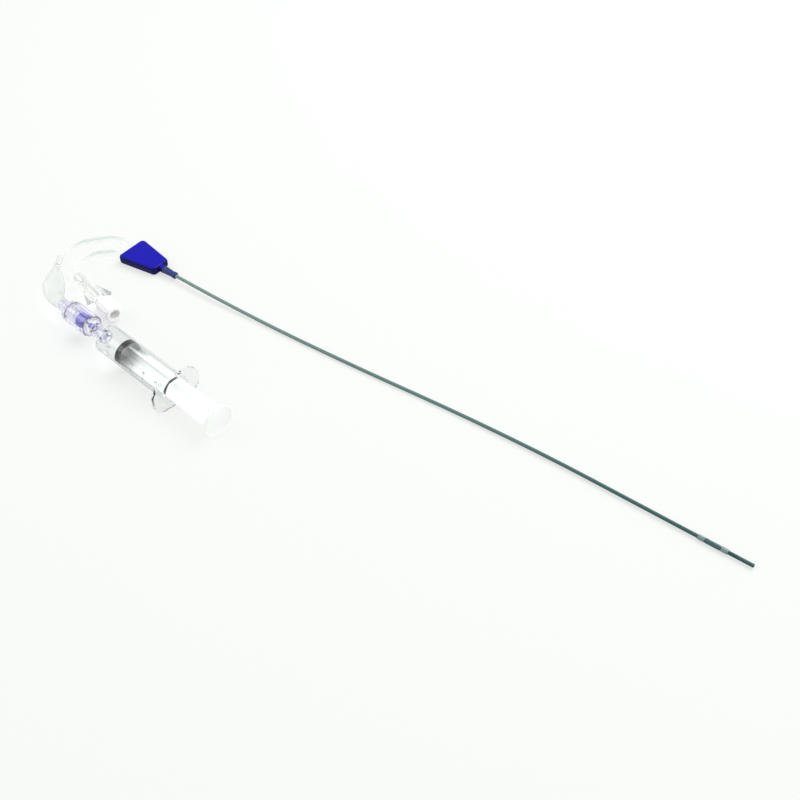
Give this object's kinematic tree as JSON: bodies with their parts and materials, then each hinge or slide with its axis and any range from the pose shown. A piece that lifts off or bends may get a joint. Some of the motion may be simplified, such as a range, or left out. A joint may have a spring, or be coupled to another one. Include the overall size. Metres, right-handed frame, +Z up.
{
  "type": "hysterosalpingography catheter",
  "caption": "Teal balloon catheter with a blue paddle hub, a capped contrast line, and a clear inflation line that ends in a pilot balloon, a check valve and an air syringe.",
  "frame": {"origin": "centre of the paddle hub's flat underside, on the table", "axes": "+X along the hub and along the syringe, towards the catheter's tip; +Y across, away from the syringe; +Z up"},
  "size_m": [0.3592, 0.1093, 0.016],
  "materials": {
    "hub_blue": "gloss",
    "shaft_teal": "satin",
    "relief_blue": "satin",
    "balloon_film": "satin",
    "bond_grey": "gloss",
    "clear_tube": "clear",
    "clear_film": "clear",
    "clear_moulding": "clear",
    "core_blue": "gloss",
    "black_rubber": "matte",
    "seal_rubber": "matte",
    "spring_steel": "bright",
    "rod_plastic": "translucent",
    "cap_white": "satin"
  },
  "bodies": {
    "catheter": {"paddle_hub": "hub_blue", "catheter_shaft": "shaft_teal", "strain_relief": "relief_blue", "balloon_sleeve": "balloon_film", "rear_balloon_bond": "bond_grey", "front_balloon_bond": "bond_grey", "balloon_line": "clear_tube", "contrast_line": "clear_tube", "pilot_balloon": "clear_film", "valve_tail": "clear_moulding", "valve_housing": "clear_moulding", "valve_spring": "spring_steel", "contrast_connector": "clear_moulding"},
    "syringe": {"syringe_barrel": "clear_moulding"},
    "plunger": {"plunger_gasket": "black_rubber", "plunger_rod": "rod_plastic"},
    "valve_core": {"valve_core": "core_blue", "valve_seal": "seal_rubber"},
    "cap": {"luer_cap": "cap_white"}
  },
  "joints": [
    {"name": "syringe_pull", "type": "slide", "parent": "catheter", "child": "syringe", "axis": [1, 0, 0], "range_m": [0, 0.01]},
    {"name": "plunger_slide", "type": "slide", "parent": "syringe", "child": "plunger", "axis": [1, 0, 0], "range_m": [-0.0117, 0.0295]},
    {"name": "core_slide", "type": "slide", "parent": "catheter", "child": "valve_core", "axis": [1, 0, 0], "range_m": [0, 0.001]},
    {"name": "cap_pull", "type": "slide", "parent": "catheter", "child": "cap", "axis": [0.9903, -0.1392, 0], "range_m": [0, 0.009]}
  ],
  "couplings": [
    {"joint": "core_slide", "follows": "syringe_pull", "ratio": 0.1}
  ]
}
